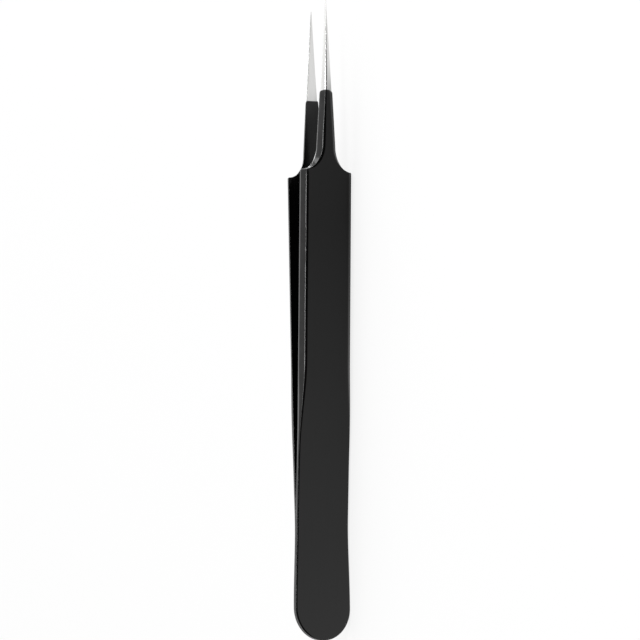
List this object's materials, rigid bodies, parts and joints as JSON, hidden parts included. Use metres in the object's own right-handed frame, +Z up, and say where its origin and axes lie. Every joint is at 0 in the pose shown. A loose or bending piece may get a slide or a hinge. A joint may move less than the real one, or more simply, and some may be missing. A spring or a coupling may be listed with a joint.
{
  "type": "precision tweezers",
  "caption": "Fine-point tweezers: black-coated spring-steel arms welded at a rounded heel, stepping in at a shoulder to slender bare steel points that meet when the arms are squeezed.",
  "frame": {"origin": "centre of the bounding box's bottom face, with the tweezers lying on their long edges", "axes": "+X along the arms from the heel to the points, Y across the opening with the front arm at -Y, +Z up along the arms' width"},
  "size_m": [0.11, 0.009, 0.0097],
  "materials": {
    "stainless_steel": "ground satin",
    "weld": "fused",
    "epoxy_black": "satin"
  },
  "bodies": {
    "heel": {"front_heel": "stainless_steel", "back_heel": "stainless_steel", "heel_welds": "weld", "front_heel_coating": "epoxy_black", "back_heel_coating": "epoxy_black"},
    "front_arm": {"front_arm": "stainless_steel", "front_arm_coating": "epoxy_black"},
    "back_arm": {"back_arm": "stainless_steel", "back_arm_coating": "epoxy_black"}
  },
  "joints": [
    {"name": "front_arm_flex", "type": "hinge", "parent": "heel", "child": "front_arm", "pos_m": [-0.0335, 0, 0.00486], "axis": [0, 0, 1], "range_deg": [0, 2.31], "stiffness_Nm_per_rad": 0.7},
    {"name": "back_arm_flex", "type": "hinge", "parent": "heel", "child": "back_arm", "pos_m": [-0.0335, 0, 0.00486], "axis": [0, 0, -1], "range_deg": [0, 2.31], "stiffness_Nm_per_rad": 0.7}
  ],
  "couplings": [
    {"joint": "back_arm_flex", "follows": "front_arm_flex", "ratio": 1}
  ]
}
